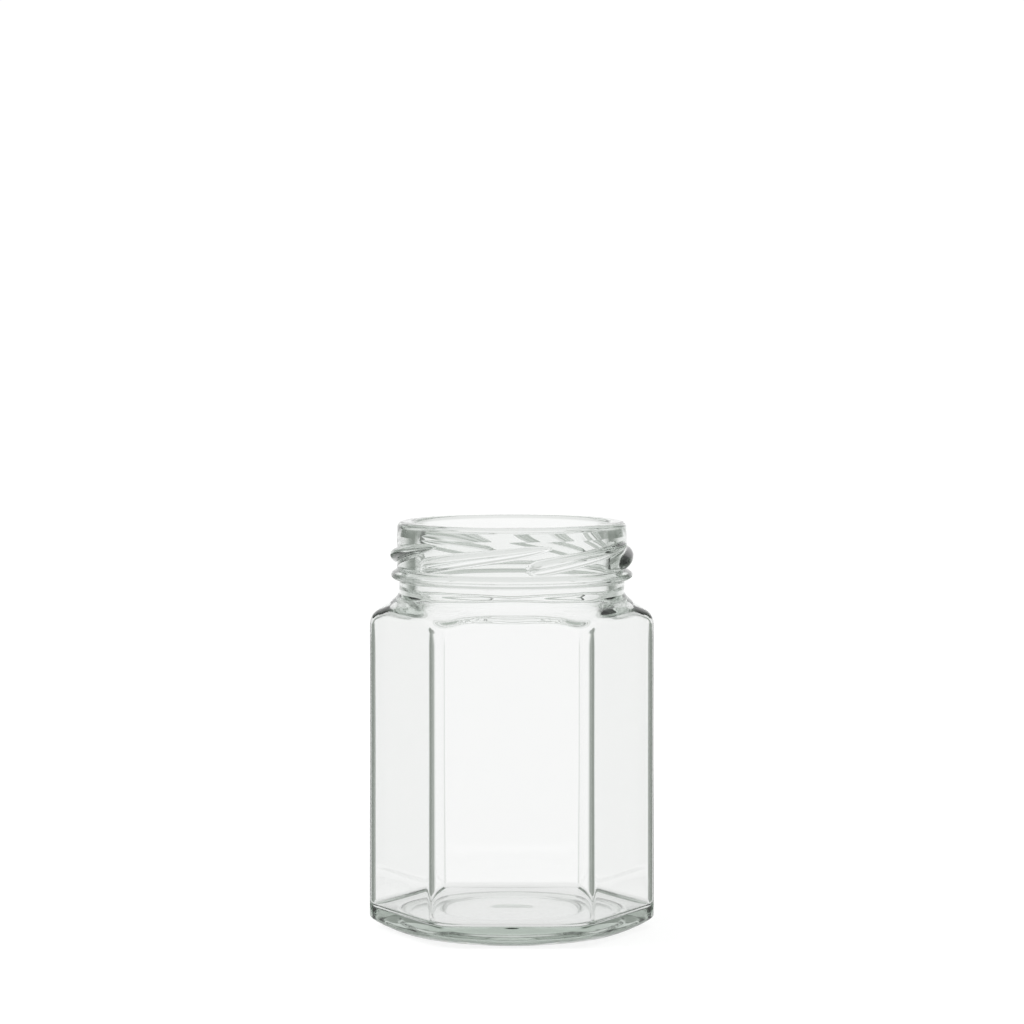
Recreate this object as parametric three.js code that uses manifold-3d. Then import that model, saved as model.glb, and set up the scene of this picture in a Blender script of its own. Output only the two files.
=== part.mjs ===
// Hexagonal glass jar with a round six-start twist-off neck, empty and open.
//
// Millimetres, +Z up. The origin is on the axis of the jar, on the plane it stands on.
// The corners of the hexagon point along +X and -X, so one flat faces -Y (the front)
// and one faces +Y. The jar is one piece of glass, so it is one closed solid.
//
// The glass is a grid of rings. Each ring has a height and a round radius, and a ring
// of the body is also held inside a hexagon with rounded corners. Where the round
// heel and the round shoulder meet the hexagon, the smaller of the two radii wins,
// with a soft changeover. That is what makes the arched tops of the six panels.

import * as THREE from 'three';
import { mergeVertices } from 'three/addons/utils/BufferGeometryUtils.js';
import Module from 'manifold-3d';

// Outer body
const JAR_HEIGHT = 106.1;
const BODY_FLAT = 32.96;			// axis to the middle of a flat
const BODY_SWELL = 0.16;			// the body is this much wider down at the heel
const SWELL_HEIGHT = 46.0;
const BODY_CORNER = 7.55;			// radius of the six upright edges
const HEEL_BLEND = 4.4;
const SHOULDER_BLEND = 3.9;

// Glass thickness and the inside of the body
const WALL = 1.65;
const INNER_CORNER = 5.55;
const INNER_FLAT = BODY_FLAT - WALL;
const INNER_BLEND = 3.0;
const FLOOR_CORNER = 14.0;			// the inner corners grow rounder down to the floor
const CORNER_TURN = 22.0;			// height where they start to
const FLOOR_HEIGHT = 3.9;
const FLOOR_DOME = 0.5;				// the floor rises this much at its middle
const FLOOR_FILLET = 2.5;

// Base: bearing ring, heel and push-up
const BEARING_INNER = 27.6;
const BEARING_OUTER = 29.1;
const HEEL_TURN = 29.5;
const HEEL_REACH = new THREE.Vector2( 42.0, 3.38 );
const PUSH_UP = 1.6;				// underside height just inside the bearing ring
const MOULD_DISC = 17.2;			// radius of the bottom plate's disc
const DISC_STEP = 0.35;
const DISC_DOME = 0.3;

// Shoulder
const NECK_RADIUS = 29.1;
const SHOULDER_HEIGHT = 86.4;		// where the cone of the shoulder would meet the neck
const SHOULDER_SLOPE = 0.565;		// fall for each millimetre outwards
const SHOULDER_REACH = 41.4;
const SHOULDER_FILLET = 2.8;		// the hollow fillet reaches this far up the neck
const FILLET_REACH = 2.2;			// and this far down the cone
const SHOULDER_WALL = 2.2;

// Neck finish for a 63 mm twist-off lid
const FINISH_RADIUS = 29.6;
const BORE_RADIUS = 25.2;
const RIM_ROUND = 1.55;
const RIM_INNER_ROUND = 1.3;
const BEAD_RADIUS = 31.2;
const BEAD_HEIGHT = 92.25;
const BEAD_HALF = 1.55;

// Thread ribs: right-handed, six starts
const RIB_COUNT = 6;
const RIB_RADIUS = 31.4;
const RIB_SPAN = 69.0;				// degrees
const RIB_TIP = - 51.0;				// degrees from the front to the lower tip of the first
const RIB_BOTTOM = 93.7;			// height of the lower side at the lower tip
const RIB_CLIMB = 0.0907;			// millimetres for each degree
const RIB_HALF = 1.78;				// half the height of a rib near its lower tip
const RIB_THINNING = 0.9;			// what that half loses up to the other end
const RIB_ROOT = 1.2;				// how far a rib goes into the wall

// Steps of the grid round one sector: over a corner fillet, and over the flat beside it
const SECTORS = 6;
const CORNER_STEPS = 4;
const FLAT_STEPS = 8;

const SECTOR = Math.PI * 2 / SECTORS;
const RADIANS = Math.PI / 180;

// Distance from the axis to a hexagon with rounded corners, along a direction
function hexagonRadius( angle, flat, corner ) {

	const turn = ( ( angle + SECTOR / 2 ) % SECTOR + SECTOR ) % SECTOR - SECTOR / 2;
	const off = Math.abs( turn );
	const centre = ( flat - corner ) / Math.cos( SECTOR / 2 );
	const limit = Math.atan2( corner * Math.sin( SECTOR / 2 ), centre + corner * Math.cos( SECTOR / 2 ) );
	if ( off >= limit ) return flat / Math.cos( SECTOR / 2 - off );
	const across = centre * Math.sin( off );
	return centre * Math.cos( off ) + Math.sqrt( corner * corner - across * across );

}

// The smaller of two lengths, with a soft changeover of the given width
function softLeast( a, b, width ) {

	const near = Math.max( width - Math.abs( a - b ), 0 ) / width;
	return Math.min( a, b ) - near * near * width / 4;

}

// Directions of the grid: close together on the corner fillets, even on the flats
function gridAngles() {

	const centre = ( BODY_FLAT - BODY_CORNER ) / Math.cos( SECTOR / 2 );
	const limit = Math.atan2( BODY_CORNER * Math.sin( SECTOR / 2 ), centre + BODY_CORNER * Math.cos( SECTOR / 2 ) );
	const angles = [];
	for ( let sector = 0; sector < SECTORS; sector ++ ) {

		for ( let i = 0; i < CORNER_STEPS; i ++ ) {

			angles.push( sector * SECTOR - limit + 2 * limit * i / CORNER_STEPS );

		}

		for ( let i = 0; i < FLAT_STEPS; i ++ ) {

			angles.push( sector * SECTOR + limit + ( SECTOR - 2 * limit ) * i / FLAT_STEPS );

		}

	}

	return angles;

}

// A round ring
function round( radius, height ) {

	return { height, reach: () => radius };

}

// A ring of the body: round, and held inside the hexagon
function held( radius, height, flat, corner, blend ) {

	return { height, reach: ( angle ) => softLeast( radius, hexagonRadius( angle, flat, corner ), blend ) };

}

// A ring that follows the hexagon only
function hexagon( height, flat, corner ) {

	return { height, reach: ( angle ) => hexagonRadius( angle, flat, corner ) };

}

function curvePoints( from, control, to, steps ) {

	const points = new THREE.QuadraticBezierCurve( from, control, to ).getPoints( steps );
	return points.slice( 1 );

}

// Underside, from the middle out to the bearing ring
function undersideRings() {

	const rings = [];
	const discHeight = PUSH_UP + DISC_STEP;
	for ( const part of [ 0.5, 1 ] ) {

		rings.push( round( MOULD_DISC * part, discHeight + DISC_DOME * ( 1 - part * part ) ) );

	}

	rings.push( round( MOULD_DISC + DISC_STEP, PUSH_UP ) );
	const from = new THREE.Vector2( BEARING_INNER - 2.6, PUSH_UP - 0.3 );
	const control = new THREE.Vector2( BEARING_INNER - 0.9, PUSH_UP - 0.45 );
	const to = new THREE.Vector2( BEARING_INNER, 0 );
	rings.push( round( from.x, from.y ) );
	for ( const p of curvePoints( from, control, to, 3 ) ) rings.push( round( p.x, p.y ) );
	rings.push( round( BEARING_OUTER, 0 ) );
	return rings;

}

// The outer flat at a height: a little wider from the middle of the body down to the heel
function outerFlat( height ) {

	const low = Math.min( Math.max( 1 - height / SWELL_HEIGHT, 0 ), 1 );
	return BODY_FLAT + BODY_SWELL * low * ( 2 - low );

}

// Radius of the inner corners at a height
function innerCorner( height ) {

	const low = Math.min( Math.max( ( CORNER_TURN - height ) / ( CORNER_TURN - FLOOR_HEIGHT ), 0 ), 1 );
	return INNER_CORNER + ( FLOOR_CORNER - INNER_CORNER ) * low * low;

}

// Heel: turns up from the bearing ring and runs out to the hexagon
function heelRings() {

	const from = new THREE.Vector2( BEARING_OUTER, 0 );
	const control = new THREE.Vector2( HEEL_TURN, 0 );
	const curve = new THREE.QuadraticBezierCurve( from, control, HEEL_REACH );
	return [ 0.1, 0.22, 0.34, 0.48, 0.64, 0.82, 1 ].map( ( t ) => {

		const p = curve.getPoint( t );
		return held( p.x, p.y, outerFlat( p.y ), BODY_CORNER, HEEL_BLEND );

	} );

}

function shoulderHeight( radius ) {

	return SHOULDER_HEIGHT - ( radius - NECK_RADIUS ) * SHOULDER_SLOPE;

}

// Shoulder: from the hexagon in and up a cone, then a hollow fillet into the neck
function shoulderRings() {

	const rings = [];
	const cone = [ SHOULDER_REACH, 39.8, 38.3, 36.9, 35.5, 34.2, 33.1, 32.1 ];
	for ( const r of cone ) rings.push( held( r, shoulderHeight( r ), BODY_FLAT, BODY_CORNER, SHOULDER_BLEND ) );
	const start = NECK_RADIUS + FILLET_REACH;
	const from = new THREE.Vector2( start, shoulderHeight( start ) );
	const control = new THREE.Vector2( NECK_RADIUS, SHOULDER_HEIGHT );
	const to = new THREE.Vector2( NECK_RADIUS, SHOULDER_HEIGHT + SHOULDER_FILLET );
	rings.push( held( from.x, from.y, BODY_FLAT, BODY_CORNER, SHOULDER_BLEND ) );
	for ( const p of curvePoints( from, control, to, 4 ) ) {

		rings.push( held( p.x, p.y, BODY_FLAT, BODY_CORNER, SHOULDER_BLEND ) );

	}

	return rings;

}

// Neck finish: bead, plain wall and rounded rim, over the top and into the bore
function finishRings() {

	const rings = [];
	for ( const turn of [ - 90, - 60, - 30, 0, 30, 60, 90 ] ) {

		const side = Math.sin( turn * RADIANS );
		const root = side < 0 ? NECK_RADIUS : FINISH_RADIUS;
		const radius = root + ( BEAD_RADIUS - root ) * Math.cos( turn * RADIANS );
		rings.push( round( radius, BEAD_HEIGHT + BEAD_HALF * side ) );

	}

	const crown = JAR_HEIGHT - RIM_ROUND;
	for ( const turn of [ 0, 30, 60, 90 ] ) {

		const out = RIM_ROUND * Math.cos( turn * RADIANS );
		const up = RIM_ROUND * Math.sin( turn * RADIANS );
		rings.push( round( FINISH_RADIUS - RIM_ROUND + out, crown + up ) );

	}

	for ( const turn of [ 90, 50, 0 ] ) {

		const out = RIM_INNER_ROUND * ( 1 - Math.cos( turn * RADIANS ) );
		const down = RIM_INNER_ROUND * ( 1 - Math.sin( turn * RADIANS ) );
		rings.push( round( BORE_RADIUS + out, JAR_HEIGHT - down ) );

	}

	return rings;

}

// Inside of the shoulder, from the bore out to the inner hexagon
function innerShoulderRings() {

	const fall = Math.atan( SHOULDER_SLOPE );
	const shift = SHOULDER_WALL / Math.cos( fall );
	const height = ( radius ) => shoulderHeight( radius ) - shift;
	const rings = [];
	const end = BORE_RADIUS + 2.6;
	const from = new THREE.Vector2( BORE_RADIUS, height( BORE_RADIUS ) + 3.0 );
	const control = new THREE.Vector2( BORE_RADIUS, height( BORE_RADIUS ) );
	const to = new THREE.Vector2( end, height( end ) );
	rings.push( round( from.x, from.y ) );
	const points = curvePoints( from, control, to, 4 );
	for ( const p of points ) rings.push( held( p.x, p.y, INNER_FLAT, INNER_CORNER, INNER_BLEND ) );
	for ( const r of [ 30.2, 31.5, 32.9, 34.4, 36.1, 38.2 ] ) {

		rings.push( held( r, height( r ), INNER_FLAT, INNER_CORNER, INNER_BLEND ) );

	}

	return rings;

}

// Inside of the base: fillet from the wall to the floor, then the slightly domed floor
function floorRings() {

	const rings = [];
	for ( const turn of [ 0, 30, 60, 90 ] ) {

		const inset = FLOOR_FILLET * ( 1 - Math.cos( turn * RADIANS ) );
		const drop = FLOOR_FILLET * Math.sin( turn * RADIANS );
		const height = FLOOR_HEIGHT + FLOOR_FILLET - drop;
		rings.push( hexagon( height, INNER_FLAT - inset, innerCorner( height ) ) );

	}

	for ( const radius of [ 24, MOULD_DISC, MOULD_DISC / 2 ] ) {

		rings.push( round( radius, floorHeight( radius ) ) );

	}

	return rings;

}

function floorHeight( radius ) {

	const part = Math.min( radius / 24, 1 );
	return FLOOR_HEIGHT + FLOOR_DOME * ( 1 - part * part ) * ( 1 - part * part );

}

// Closes a list of rings with one point at each end, as a THREE.BufferGeometry.
// The rings run from the middle of the underside, round the outside and back inside.
function closedGrid( rings, angles, firstHeight, lastHeight ) {

	const position = [];
	const index = [];
	const count = angles.length;
	for ( const ring of rings ) {

		for ( const angle of angles ) {

			const r = ring.reach( angle );
			position.push( r * Math.cos( angle ), r * Math.sin( angle ), ring.height );

		}

	}

	for ( let row = 0; row + 1 < rings.length; row ++ ) {

		for ( let i = 0; i < count; i ++ ) {

			const next = ( i + 1 ) % count;
			const a = row * count + i;
			const b = row * count + next;
			const c = a + count;
			const d = b + count;
			index.push( a, b, d, a, d, c );

		}

	}

	const first = position.length / 3;
	position.push( 0, 0, firstHeight );
	const last = first + 1;
	position.push( 0, 0, lastHeight );
	const top = ( rings.length - 1 ) * count;
	for ( let i = 0; i < count; i ++ ) {

		const next = ( i + 1 ) % count;
		index.push( first, next, i );
		index.push( last, top + i, top + next );

	}

	const geometry = new THREE.BufferGeometry();
	geometry.setAttribute( 'position', new THREE.Float32BufferAttribute( position, 3 ) );
	geometry.setIndex( index );
	return geometry;

}

// Half the height of a rib before its ends are rounded, at an angle from its lower tip
function ribSlim( turn ) {

	return RIB_HALF - RIB_THINNING * Math.pow( Math.max( turn - 12, 0 ) / ( RIB_SPAN - 12 ), 1.35 );

}

// Half the height of a rib and how far it stands out, at an angle from its lower tip
function ribSection( turn ) {

	const nose = Math.min( Math.max( turn / 6, 0 ), 1 );
	const blunt = Math.sqrt( 1 - ( 1 - nose ) * ( 1 - nose ) );
	const tail = Math.min( Math.max( ( RIB_SPAN - turn ) / 16, 0 ), 1 );
	const fade = Math.sqrt( 1 - ( 1 - tail ) * ( 1 - tail ) );
	const slim = ribSlim( turn );
	const half = Math.max( slim * blunt * fade, 0.18 );
	const stand = ( RIB_RADIUS - FINISH_RADIUS + 0.3 ) * Math.min( blunt, fade ) - 0.3;
	return { half, stand };

}

// One rib of the thread: half-ellipse sections swept up round the neck wall
function threadRib( tip ) {

	const turns = [ 0, 1, 2.5, 4.5, 8, 13, 19, 26, 33, 40, 47, 54, 60, 64.5, 67.5, RIB_SPAN ];
	const arc = [ - 90, - 54, - 27, 0, 27, 54, 90 ];
	const root = FINISH_RADIUS - RIB_ROOT;
	const shelf = FINISH_RADIUS - RIB_ROOT / 2;
	const position = [];
	const index = [];
	for ( const turn of turns ) {

		const { half, stand } = ribSection( turn );
		const middle = RIB_BOTTOM + RIB_CLIMB * turn + ribSlim( turn );
		const angle = ( tip + turn - 90 ) * RADIANS;
		const section = arc.map( ( a ) => [
			shelf + ( FINISH_RADIUS + stand - shelf ) * Math.cos( a * RADIANS ),
			middle + half * Math.sin( a * RADIANS ),
		] );
		section.push( [ root, middle + half ], [ root, middle - half ] );
		for ( const [ r, z ] of section ) position.push( r * Math.cos( angle ), r * Math.sin( angle ), z );

	}

	const count = arc.length + 2;
	for ( let row = 0; row + 1 < turns.length; row ++ ) {

		for ( let i = 0; i < count; i ++ ) {

			const next = ( i + 1 ) % count;
			const a = row * count + i;
			const b = row * count + next;
			index.push( a, a + count, b + count, a, b + count, b );

		}

	}

	const end = ( turns.length - 1 ) * count;
	for ( let i = 1; i + 1 < count; i ++ ) {

		index.push( 0, i, i + 1 );
		index.push( end, end + i + 1, end + i );

	}

	const geometry = new THREE.BufferGeometry();
	geometry.setAttribute( 'position', new THREE.Float32BufferAttribute( position, 3 ) );
	geometry.setIndex( index );
	return geometry;

}

const wasm = await Module();
wasm.setup();

function toSolid( geometry ) {

	const merged = mergeVertices( geometry, 1e-4 );
	return new wasm.Manifold( new wasm.Mesh( {
		numProp: 3,
		vertProperties: new Float32Array( merged.attributes.position.array ),
		triVerts: new Uint32Array( merged.index.array ),
	} ) );

}

function toGeometry( solid ) {

	const mesh = solid.getMesh();
	const geometry = new THREE.BufferGeometry();
	geometry.setAttribute( 'position', new THREE.BufferAttribute( new Float32Array( mesh.vertProperties ), 3 ) );
	geometry.setIndex( new THREE.BufferAttribute( new Uint32Array( mesh.triVerts ), 1 ) );
	geometry.computeVertexNormals();
	return geometry;

}

const rings = [
	...undersideRings(),
	...heelRings(),
	hexagon( 24, outerFlat( 24 ), BODY_CORNER ),
	hexagon( SWELL_HEIGHT, BODY_FLAT, BODY_CORNER ),
	...shoulderRings(),
	...finishRings(),
	...innerShoulderRings(),
	hexagon( 52, INNER_FLAT, INNER_CORNER ),
	...[ CORNER_TURN, 14, 9.5 ].map( ( height ) => hexagon( height, INNER_FLAT, innerCorner( height ) ) ),
	...floorRings(),
];
const undersideMiddle = PUSH_UP + DISC_STEP + DISC_DOME;
let solid = toSolid( closedGrid( rings, gridAngles(), undersideMiddle, floorHeight( 0 ) ) );
for ( let i = 0; i < RIB_COUNT; i ++ ) {

	solid = solid.add( toSolid( threadRib( RIB_TIP + i * 360 / RIB_COUNT ) ) );

}

const glass = new THREE.MeshStandardMaterial( {
	color: 0xdfe6e1,
	roughness: 0.03,
	metalness: 0.0,
	transparent: true,
	opacity: 0.35,
} );

const jar = new THREE.Mesh( toGeometry( solid ), glass );
jar.name = 'jar';

const group = new THREE.Group();
group.name = 'hexagonal_glass_jar';
group.add( jar );

export default group;
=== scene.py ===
"""Hexagonal glass jar: an empty clear jar with a round six-start twist-off neck."""
import math

import bpy
import numpy as np
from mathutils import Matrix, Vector


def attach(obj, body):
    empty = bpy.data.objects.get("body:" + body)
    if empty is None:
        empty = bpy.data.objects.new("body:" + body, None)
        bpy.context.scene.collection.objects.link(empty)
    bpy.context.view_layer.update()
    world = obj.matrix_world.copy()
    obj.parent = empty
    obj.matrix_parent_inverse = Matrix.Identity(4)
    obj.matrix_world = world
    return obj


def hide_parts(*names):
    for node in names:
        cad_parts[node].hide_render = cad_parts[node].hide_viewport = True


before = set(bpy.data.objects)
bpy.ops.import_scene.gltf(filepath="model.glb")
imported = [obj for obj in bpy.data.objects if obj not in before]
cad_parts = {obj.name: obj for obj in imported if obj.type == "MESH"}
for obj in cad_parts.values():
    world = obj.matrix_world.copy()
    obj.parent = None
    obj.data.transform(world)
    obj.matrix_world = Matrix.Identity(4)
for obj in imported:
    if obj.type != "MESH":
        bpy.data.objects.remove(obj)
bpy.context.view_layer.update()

MM = 0.001
SECTORS = 6
SECTOR = 2 * math.pi / SECTORS

# Outer body, in millimetres. A flat is given by its distance from the axis.
JAR_HEIGHT = 106.1
BODY_FLAT = 32.96
BODY_SWELL = 0.16
SWELL_HEIGHT = 46.0
BODY_CORNER = 7.55
HEEL_BLEND = 4.4
SHOULDER_BLEND = 3.5
BODY_HEIGHTS = (6, 10, 16, 24, 34, 46, 60, 74)

# Glass thickness and the inside of the body
WALL = 1.65
INNER_CORNER = 5.55
INNER_FLAT = BODY_FLAT - WALL
INNER_BLEND = 1.3
INNER_HEIGHTS = (74, 60, 40, 22, 14, 10, 8.4, 7.4)
FLOOR_HEIGHT = 5.2
FLOOR_DOME = 0.15
FLOOR_EDGE = 26.0
FLOOR_FILLET = 1.5

# Base: bearing ring, heel and push-up. Points of a curve are (radius, height).
BEARING_INNER = 27.5
BEARING_OUTER = 29.0
HEEL_TURN = 29.5
HEEL_REACH = (42.0, 3.38)
RING_RUN = 3.0
RING_TURN = 0.9
PUSH_UP = 1.35
PUSH_UP_FALL = 0.2
PUSH_UP_TURN = 0.35
MOULD_DISC = 18.5
DISC_STEP = 0.33
DISC_DOME = 0.12
DIMPLE = 6.5
DIMPLE_DEPTH = 0.18

# Shoulder: a cone at the corners and a facet over each flat, outside and inside
NECK_RADIUS = 29.25
SHOULDER_FOOT = 78.6
SHOULDER_HEIGHT = 86.75
SHOULDER_SLOPE = 0.62
NECK_FILLET = 2.5
NECK_FOOT = 90.45
FACET_HEIGHT = 85.0
FACET_RUN = 1.15
FACET_TURN = 3.0
INNER_FOOT = 76.0
INNER_SHOULDER = 84.4
INNER_FACET = 82.3
INNER_RUN = 1.4
INNER_TURN = 0.75
FLARE_BLEND = 4.75
FLARE_HEAD = 91.0

# Neck finish
FINISH_RADIUS = 29.75
FINISH_FOOT = NECK_FOOT + 0.1
FINISH_HEAD = 102.7
CROWN_FOOT = 103.6
BORE_RADIUS = 25.2
BORE_HEIGHTS = (102.0, 97.0, 93.0)
RIM_ROUND = 1.55
RIM_INNER_ROUND = 1.3
BEAD_RADIUS = 31.35
BEAD_HEIGHT = 92.25
BEAD_HALF = 1.55
BEAD_POWER = 2.4

# Thread ribs: right-handed, six starts. Their lengths round the neck are in degrees.
RIB_COUNT = 6
RIB_RADIUS = 31.6
RIB_SPAN = 69.0
RIB_TIP = -51.0
RIB_NOSE = 6
RIB_TAIL = 16
RIB_BOTTOM = 93.7
RIB_CLIMB = 0.0907
RIB_HALF = 1.78
RIB_LEAST = 0.18
RIB_THINNING = 0.9
RIB_THIN_START = 12
RIB_THIN_POWER = 1.35
RIB_SECTION = (2.2, 0.6)
RIB_SINK = 0.3
RIB_MEET = 0.3
SOFT_FOOT = 0.5
LOW = -2.0

# Steps of the surface round one sector, and of its rows
CORNER_STEPS = 14
FLAT_STEPS = 36
DISC_STEPS = 18
RING_STEPS = 8
HEEL_STEPS = 28
SHOULDER_STEPS = 50
BEAD_ROW = 0.19
RIM_STEPS = 10
RIM_INNER_STEPS = 8
INNER_STEPS = 62
FILLET_STEPS = 13
FLOOR_STEPS = 14

# Glass
GLASS_INDEX = 1.517
GLASS_TINT = (0.45, 0.535, 0.465, 1)
GLASS_DENSITY = 20.0


def corner_limit():
    """Half the angle that a corner fillet takes, seen from the axis."""
    centre = (BODY_FLAT - BODY_CORNER) / math.cos(SECTOR / 2)
    across = BODY_CORNER * math.sin(SECTOR / 2)
    return math.atan2(across, centre + BODY_CORNER * math.cos(SECTOR / 2))


def grid_angles():
    """Directions of the grid, finer round the corner fillets than over the flats."""
    limit = corner_limit()
    corner = np.linspace(-limit, limit, CORNER_STEPS, endpoint=False)
    flat = np.linspace(limit, SECTOR - limit, FLAT_STEPS, endpoint=False)
    one = np.concatenate([corner, flat])
    return np.concatenate([one + SECTOR * i for i in range(SECTORS)])


ANGLES = grid_angles()
ROUND = np.ones_like(ANGLES)


def hexagon_radius(flat, corner):
    """Distance from the axis to a hexagon with rounded corners, for every direction of the grid."""
    off = np.abs((ANGLES + SECTOR / 2) % SECTOR - SECTOR / 2)
    side = flat / np.cos(SECTOR / 2 - off)
    centre = (flat - corner) / math.cos(SECTOR / 2)
    across = centre * np.sin(off)
    inside = np.maximum(corner * corner - across * across, 0)
    arc = centre * np.cos(off) + np.sqrt(inside)
    limit = math.atan2(corner * math.sin(SECTOR / 2), centre + corner * math.cos(SECTOR / 2))
    return np.where(off < limit, arc, side)


def soft_least(a, b, width):
    """The lesser of two values, rounded where they differ by less than the width."""
    near = np.maximum(width - np.abs(a - b), 0) / width
    return np.minimum(a, b) - near * near * width / 4


def soft_most(a, b, width):
    return -soft_least(-a, -b, width)


def curve(start, control, end, steps):
    """Points of a quadratic curve, without its first."""
    points = []
    for i in range(1, steps + 1):
        t = i / steps
        a, b, c = (1 - t) * (1 - t), 2 * t * (1 - t), t * t
        r = a * start[0] + b * control[0] + c * end[0]
        z = a * start[1] + b * control[1] + c * end[1]
        points.append((r, z))
    return points


def disc_height(radius):
    """Underside of the mould disc: nearly flat, with a shallow dimple in its middle."""
    part = radius / MOULD_DISC
    near = max(1 - (radius / DIMPLE) ** 2, 0)
    return PUSH_UP + DISC_STEP + DISC_DOME * (1 - part * part) + DIMPLE_DEPTH * near * near


def underside_rows():
    """From the middle of the push-up out to the bearing ring."""
    rows = [(r * ROUND, disc_height(r)) for r in np.linspace(1, MOULD_DISC, DISC_STEPS)]
    edge = MOULD_DISC + DISC_STEP
    rows.append(((MOULD_DISC + DISC_STEP / 2) * ROUND, PUSH_UP + DISC_STEP / 2))
    rows.append((edge * ROUND, PUSH_UP))
    start = (BEARING_INNER - RING_RUN, PUSH_UP - PUSH_UP_FALL)
    for part in (0.33, 0.66, 1):
        rows.append(((edge + (start[0] - edge) * part) * ROUND, PUSH_UP - PUSH_UP_FALL * part))
    control = (BEARING_INNER - RING_TURN, PUSH_UP - PUSH_UP_TURN)
    for r, z in curve(start, control, (BEARING_INNER, 0), RING_STEPS):
        rows.append((r * ROUND, z))
    rows.append((BEARING_OUTER * ROUND, 0))
    return rows


def outer_flat(height):
    """Axis to the outer flat: a little wider from the middle of the body down to the heel."""
    low = min(max(1 - height / SWELL_HEIGHT, 0), 1)
    return BODY_FLAT + BODY_SWELL * low * (2 - low)


def heel_rows():
    """A round bowl that the rounded hexagon cuts off softly."""
    rows = []
    for r, z in curve((BEARING_OUTER, 0), (HEEL_TURN, 0), HEEL_REACH, HEEL_STEPS):
        body = hexagon_radius(outer_flat(z), BODY_CORNER)
        rows.append((soft_least(r * ROUND, body, HEEL_BLEND), z))
    return rows


def shoulder_reach(height, top, facet, flat, corner, neck, blend, fillet):
    """Section of a shoulder: a cone at the corners, a facet over each flat, turning into the neck."""
    start, run, turn = facet
    cone = NECK_RADIUS + (top - height) / SHOULDER_SLOPE
    flat = soft_least(flat, flat + (start - height) * run, turn)
    body = soft_least(cone * ROUND, hexagon_radius(flat, min(corner, flat)), blend)
    return soft_most(body, neck * ROUND, fillet)


def shoulder_rows():
    rows = []
    facet = (FACET_HEIGHT, FACET_RUN, FACET_TURN)
    for z in np.linspace(SHOULDER_FOOT, NECK_FOOT, SHOULDER_STEPS):
        reach = shoulder_reach(z, SHOULDER_HEIGHT, facet, BODY_FLAT, BODY_CORNER, NECK_RADIUS,
                               SHOULDER_BLEND, NECK_FILLET)
        rows.append((reach, z))
    return rows


def rib_stand(height):
    """How far the thread ribs stand out of the neck wall, for every direction of the grid."""
    front = np.degrees(ANGLES) + 90
    most = np.full_like(ANGLES, LOW)
    full = RIB_RADIUS - FINISH_RADIUS + RIB_SINK
    for i in range(RIB_COUNT):
        turn = (front - RIB_TIP - 360 / RIB_COUNT * i + 30) % 360 - 30
        nose = np.clip(turn / RIB_NOSE, 0, 1)
        blunt = np.sqrt(1 - (1 - nose) ** 2)
        tail = np.clip((RIB_SPAN - turn) / RIB_TAIL, 0, 1)
        fade = np.sqrt(1 - (1 - tail) ** 2)
        thin = np.maximum(turn - RIB_THIN_START, 0) / (RIB_SPAN - RIB_THIN_START)
        slim = RIB_HALF - RIB_THINNING * thin ** RIB_THIN_POWER
        half = np.maximum(slim * blunt * fade, RIB_LEAST)
        stand = full * np.minimum(blunt, fade) - RIB_SINK
        middle = RIB_BOTTOM + RIB_CLIMB * turn + slim
        across = np.minimum(np.abs(height - middle) / half, 3)
        over = 1 - across ** RIB_SECTION[0]
        crest = np.maximum(stand, 0.05) * np.maximum(over, 0) ** RIB_SECTION[1]
        bump = crest + np.minimum(over, 0) + np.minimum(stand, 0)
        bump = np.where((turn < 0) | (turn > RIB_SPAN), LOW, bump)
        most = np.maximum(most, np.maximum(bump, LOW))
    return soft_most(most, 0 * ROUND, SOFT_FOOT)


def finish_rows():
    """From the neck foot over the bead and the ribs to the rim and into the bore."""
    rows = []
    # Above the bead, one row rises as much as a rib climbs in one step round a flat
    rise = RIB_CLIMB * math.degrees(SECTOR - 2 * corner_limit()) / FLAT_STEPS
    bead_rows = np.arange(FINISH_FOOT, RIB_BOTTOM - 0.5, BEAD_ROW)
    rib_rows = np.arange(RIB_BOTTOM - 0.4, FINISH_HEAD, rise)
    for z in np.concatenate([bead_rows, rib_rows]):
        side = (z - BEAD_HEIGHT) / BEAD_HALF
        step = min(max(side / 2 + 0.5, 0), 1)
        wall = NECK_RADIUS + (FINISH_RADIUS - NECK_RADIUS) * step * step * (3 - 2 * step)
        bead = (BEAD_RADIUS - wall) * max(1 - abs(side) ** BEAD_POWER, LOW)
        stand = soft_most(bead * ROUND, 0 * ROUND, SOFT_FOOT)
        if z > BEAD_HEIGHT + BEAD_HALF - 1:
            stand = soft_most(stand, rib_stand(z), RIB_MEET)
        rows.append((wall + stand, z))
    crown = JAR_HEIGHT - RIM_ROUND
    rows.append((FINISH_RADIUS * ROUND, CROWN_FOOT))
    for turn in np.radians(np.linspace(0, 90, RIM_STEPS)):
        r = FINISH_RADIUS - RIM_ROUND * (1 - math.cos(turn))
        rows.append((r * ROUND, crown + RIM_ROUND * math.sin(turn)))
    for turn in np.radians(np.linspace(90, 0, RIM_INNER_STEPS)):
        r = BORE_RADIUS + RIM_INNER_ROUND * (1 - math.cos(turn))
        rows.append((r * ROUND, JAR_HEIGHT - RIM_INNER_ROUND * (1 - math.sin(turn))))
    return rows


def inner_shoulder_rows():
    """From the bore down to the inner hexagon."""
    rows = [(BORE_RADIUS * ROUND, z) for z in BORE_HEIGHTS]
    facet = (INNER_FACET, INNER_RUN, INNER_TURN)
    for z in np.linspace(FLARE_HEAD, INNER_FOOT, INNER_STEPS):
        reach = shoulder_reach(z, INNER_SHOULDER, facet, INNER_FLAT, INNER_CORNER, BORE_RADIUS,
                               INNER_BLEND, FLARE_BLEND)
        rows.append((reach, z))
    return rows


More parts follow.
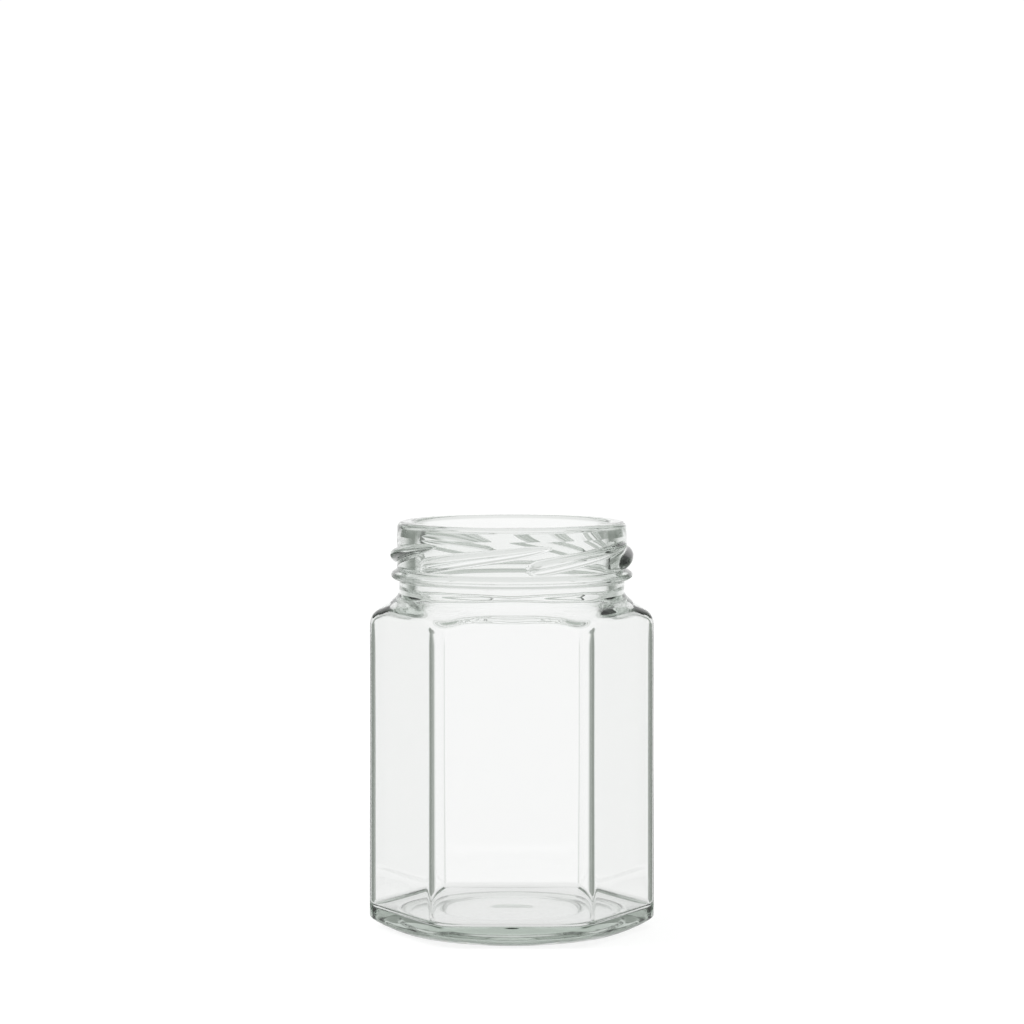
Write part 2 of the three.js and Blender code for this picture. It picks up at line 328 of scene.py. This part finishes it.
def floor_height(radius):
    part = min(radius / FLOOR_EDGE, 1)
    return FLOOR_HEIGHT + FLOOR_DOME * (1 - part * part) ** 2


def floor_rows():
    """Down the inner fillet and over the floor to its middle."""
    rows = []
    for turn in np.radians(np.linspace(0, 90, FILLET_STEPS)):
        inset = FLOOR_FILLET * (1 - math.cos(turn))
        z = FLOOR_HEIGHT + FLOOR_FILLET * (1 - math.sin(turn))
        rows.append((hexagon_radius(INNER_FLAT - inset, INNER_CORNER - inset), z))
    for radius in np.linspace(FLOOR_EDGE + 2, 2, FLOOR_STEPS):
        rows.append((radius * ROUND, floor_height(radius)))
    return rows


def jar_rows():
    """All rows, from the middle of the underside round the rim to the middle of the floor."""
    outer = [(hexagon_radius(outer_flat(z), BODY_CORNER), z) for z in BODY_HEIGHTS]
    inner = [(hexagon_radius(INNER_FLAT, INNER_CORNER), z) for z in INNER_HEIGHTS]
    return (underside_rows() + heel_rows() + outer + shoulder_rows() + finish_rows()
            + inner_shoulder_rows() + inner + floor_rows())


def closed_surface(name, rows, low, high):
    """One closed mesh from rows of radii, with a point at each end, smooth all over."""
    count = len(ANGLES)
    radii = np.array([row[0] for row in rows])
    heights = np.array([row[1] * ROUND for row in rows])
    points = np.stack([radii * np.cos(ANGLES), radii * np.sin(ANGLES), heights], axis=-1)
    points = np.concatenate([points.reshape(-1, 3), [[0, 0, low], [0, 0, high]]]) * MM
    first = np.arange(len(rows) - 1)[:, None] * count
    here = np.arange(count)[None, :]
    after = (here + 1) % count
    quads = np.stack([first + here, first + after, first + after + count, first + here + count], axis=-1)
    faces = quads.reshape(-1, 4).tolist()
    last = (len(rows) - 1) * count
    under = len(points) - 2
    for i in range(count):
        j = (i + 1) % count
        faces.append((under, j, i))
        faces.append((under + 1, last + i, last + j))
    mesh = bpy.data.meshes.new(name)
    mesh.from_pydata(points.tolist(), [], faces)
    mesh.validate()
    mesh.polygons.foreach_set("use_smooth", np.ones(len(mesh.polygons), dtype=bool))
    mesh.update()
    piece = bpy.data.objects.new(name, mesh)
    bpy.context.scene.collection.objects.link(piece)
    return piece


def clear_glass():
    """Clear soda-lime glass with a slight grey-green cast in its thickness."""
    made = bpy.data.materials.new("clear_glass")
    made.use_nodes = True
    tree = made.node_tree
    shader = tree.nodes["Principled BSDF"]
    shader.inputs["Base Color"].default_value = (1, 1, 1, 1)
    shader.inputs["Roughness"].default_value = 0.0
    shader.inputs["IOR"].default_value = GLASS_INDEX
    shader.inputs["Transmission Weight"].default_value = 1.0
    inside = tree.nodes.new("ShaderNodeVolumeAbsorption")
    inside.inputs["Color"].default_value = GLASS_TINT
    inside.inputs["Density"].default_value = GLASS_DENSITY
    tree.links.new(inside.outputs["Volume"], tree.nodes["Material Output"].inputs["Volume"])
    return made


scene = bpy.context.scene

# Camera, in metres
CAMERA_BACK = 0.9483
CAMERA_HEIGHT = 0.1664
AIM_HEIGHT = 0.10843
AIM_SIDE = 0.00005
FOCAL_PIXELS = 3661
FRAME_PIXELS = 1024
SENSOR_WIDTH = 36

lens = bpy.data.cameras.new("camera")
lens.sensor_width = SENSOR_WIDTH
lens.lens = FOCAL_PIXELS / FRAME_PIXELS * SENSOR_WIDTH
lens.clip_start = 0.01
lens.clip_end = 40
camera = bpy.data.objects.new("camera", lens)
camera.location = (AIM_SIDE, -CAMERA_BACK, CAMERA_HEIGHT)
fall = math.atan2(CAMERA_HEIGHT - AIM_HEIGHT, CAMERA_BACK)
camera.rotation_euler = (math.pi / 2 - fall, 0, 0)
scene.collection.objects.link(camera)
scene.camera = camera

# The jar
jar = closed_surface("jar_glass", jar_rows(), disc_height(0), floor_height(0))
jar.data.materials.append(clear_glass())
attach(jar, "root")
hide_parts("jar")


# Studio: a white sweep behind the jar, a dark gap at each side of it, then grey round the sides
WHITE = 1.04
GAP_TONE = 0.27
SIDE_TONE = 0.66
FRONT_TONE = 0.55
ABOVE_TONE = 0.68
BELOW_TONE = 0.85

# The darker tones lean to green, because red and blue fall off a little faster
RED_FALL = 1.075
BLUE_FALL = 1.075

# Where the white ends and where the gap is full, as sines of the turn from +Y, for the table and the wall
TABLE_WHITE = 0.140
TABLE_GREY = 0.250
WALL_WHITE = 0.34
WALL_GREY = 0.72
SIDE_START = 0.76
SIDE_FULL = 0.86

# Parts of a direction, up (z) and away from the camera (y), between which one tone turns into the next
TABLE_EDGE = -0.098
WALL_FOOT = -0.084
CEILING = (0.32, 0.62)
UNDERSIDE = (-0.4, -0.18)
FRONT_TURN = (-0.8, -0.3)

# The floor, which glows with painted light, and the patch of paper under the jar with a painted shadow,
# in metres
SWEEP_START = 1.0
# The floor glows with painted light: its tone less FLOOR_LIT, the part that the lamp and the world give
# it
FLOOR_DIFFUSE = 0.34
FLOOR_LIT = 0.22
FLOOR_RADIUS = 6.0
FLOOR_LEVEL = -0.0001
PATCH_RADIUS = 0.055
PATCH_LEVEL = -0.00005
# Painted shadow in the patch's glow: UNDER_TONE under the base, rising to NEAR_TONE towards its edge
UNDER_TONE = 0.76
NEAR_TONE = 0.95
UNDER_EDGE = 0.029
NEAR_EDGE = 0.046

# The one lamp
LAMP_PLACE = (-0.9, -0.2, 0.8)
LAMP_SIZE = 0.5
LAMP_POWER = 3


def math_node(tree, operation, a, b=None):
    """One operation on one or two values, each a number or a socket."""
    node = tree.nodes.new("ShaderNodeMath")
    node.operation = operation
    for socket, value in zip(node.inputs, (a, b)):
        if value is None:
            continue
        if isinstance(value, (int, float)):
            socket.default_value = value
        else:
            tree.links.new(value, socket)
    return node.outputs[0]


def blend_node(tree, value, low, high, start, end):
    """A smooth change from start to end while the value goes from low to high."""
    node = tree.nodes.new("ShaderNodeMapRange")
    node.interpolation_type = "SMOOTHSTEP"
    tree.links.new(value, node.inputs["Value"])
    sockets = (("From Min", low), ("From Max", high), ("To Min", start), ("To Max", end))
    for name, amount in sockets:
        if isinstance(amount, (int, float)):
            node.inputs[name].default_value = amount
        else:
            tree.links.new(amount, node.inputs[name])
    return node.outputs["Result"]


def length_node(tree, x, y):
    square = math_node(tree, "ADD", math_node(tree, "MULTIPLY", x, x), math_node(tree, "MULTIPLY", y, y))
    return math_node(tree, "SQRT", square)


def split_node(tree, output):
    """The three parts of one output of the texture coordinates."""
    split = tree.nodes.new("ShaderNodeSeparateXYZ")
    where = tree.nodes.new("ShaderNodeTexCoord")
    tree.links.new(where.outputs[output], split.inputs[0])
    return split.outputs


def sweep_tone(tree, x, y, white_turn, grey_turn):
    """White along +Y and grey round the sides, from the two level parts of a direction."""
    behind = math_node(tree, "MAXIMUM", y, 0.0001)
    turn = math_node(tree, "DIVIDE", math_node(tree, "ABSOLUTE", x), length_node(tree, x, behind))
    around = blend_node(tree, turn, SIDE_START, SIDE_FULL, GAP_TONE, SIDE_TONE)
    sweep = blend_node(tree, turn, white_turn, grey_turn, WHITE, around)
    return blend_node(tree, y, *FRONT_TURN, FRONT_TONE, sweep)


def studio_world():
    """A sweep of tones by direction, for the glass to refract and reflect."""
    world = bpy.data.worlds.new("studio")
    world.use_nodes = True
    tree = world.node_tree
    x, y, z = split_node(tree, "Generated")
    white_turn = blend_node(tree, z, TABLE_EDGE, WALL_FOOT, TABLE_WHITE, WALL_WHITE)
    grey_turn = blend_node(tree, z, TABLE_EDGE, WALL_FOOT, TABLE_GREY, WALL_GREY)
    sides = sweep_tone(tree, x, y, white_turn, grey_turn)
    upper = blend_node(tree, z, *CEILING, sides, ABOVE_TONE)
    tone = blend_node(tree, z, *UNDERSIDE, BELOW_TONE, upper)
    cast = tree.nodes.new("ShaderNodeCombineXYZ")
    tree.links.new(math_node(tree, "POWER", tone, RED_FALL), cast.inputs[0])
    tree.links.new(tone, cast.inputs[1])
    tree.links.new(math_node(tree, "POWER", tone, BLUE_FALL), cast.inputs[2])
    tree.links.new(cast.outputs[0], tree.nodes["Background"].inputs["Color"])
    tree.nodes["Background"].inputs["Strength"].default_value = 1.0
    bpy.context.scene.world = world


def glowing_paper(name, diffuse):
    """Dull paper that also glows with painted light. The caller links its glow."""
    made = bpy.data.materials.new(name)
    made.use_nodes = True
    shader = made.node_tree.nodes["Principled BSDF"]
    shader.inputs["Base Color"].default_value = (diffuse, diffuse, diffuse, 1)
    shader.inputs["Roughness"].default_value = 1.0
    shader.inputs["Specular IOR Level"].default_value = 0.0
    shader.inputs["Emission Color"].default_value = (1, 1, 1, 1)
    return made, made.node_tree, shader.inputs["Emission Strength"]


def painted_light_paper():
    """Pale paper glowing with painted light, white along +Y and greyer round the sides, whose tone runs
    into the sweep's at the horizon.
    """
    made, tree, glow = glowing_paper("painted_light_floor", FLOOR_DIFFUSE)
    x, y, _ = split_node(tree, "Object")
    tone = sweep_tone(tree, x, math_node(tree, "ADD", y, SWEEP_START), TABLE_WHITE, TABLE_GREY)
    # Painted light: the glow is the sweep's tone, white along +Y and grey round the sides, less FLOOR_LIT
    tree.links.new(math_node(tree, "SUBTRACT", tone, FLOOR_LIT), glow)
    return made


def painted_shadow_paper():
    """Glowing paper under and beside the base, with the jar's shadow painted into its glow: darker under
    the base, paler outwards.
    """
    made, tree, glow = glowing_paper("painted_shadow_paper", 0)
    x, y, _ = split_node(tree, "Object")
    out = length_node(tree, x, y)
    # Painted shadow: the glow is darkest under the base and pales outwards
    tree.links.new(blend_node(tree, out, UNDER_EDGE, NEAR_EDGE, UNDER_TONE, NEAR_TONE), glow)
    return made


def flat_disc(name, radius, height, paper):
    """A round sheet that belongs to the studio, not to the jar."""
    mesh = bpy.data.meshes.new(name)
    edge = [(radius * math.cos(math.radians(a)), radius * math.sin(math.radians(a)), height)
            for a in range(0, 360, 5)]
    mesh.from_pydata(edge, [], [tuple(range(len(edge)))])
    mesh.materials.append(paper)
    disc = bpy.data.objects.new(name, mesh)
    bpy.context.scene.collection.objects.link(disc)
    return disc


studio_world()

# The floor, with its painted light, is seen and shadowed, while the glass refracts the sweep behind it
floor = flat_disc("floor", FLOOR_RADIUS, FLOOR_LEVEL, painted_light_paper())
floor.visible_transmission = False
floor.visible_glossy = False

# Close to the base the glass refracts the patch with the painted shadow instead
shade = flat_disc("shade", PATCH_RADIUS, PATCH_LEVEL, painted_shadow_paper())
shade.visible_camera = False
shade.visible_diffuse = False
shade.visible_shadow = False


def soft_light(name, place, size, power):
    """A round lamp turned to the jar's foot, which the glass doesn't show."""
    lamp = bpy.data.lights.new(name, "AREA")
    lamp.shape = "DISK"
    lamp.size = size
    lamp.energy = power
    light = bpy.data.objects.new(name, lamp)
    light.location = place
    light.rotation_mode = "QUATERNION"
    light.rotation_quaternion = Vector(place).to_track_quat("Z", "Y")
    light.visible_glossy = False
    light.visible_transmission = False
    bpy.context.scene.collection.objects.link(light)


soft_light("from_left", LAMP_PLACE, LAMP_SIZE, LAMP_POWER)

scene.view_settings.view_transform = "Standard"
scene.cycles.max_bounces = 32
scene.cycles.transmission_bounces = 32
scene.cycles.glossy_bounces = 16
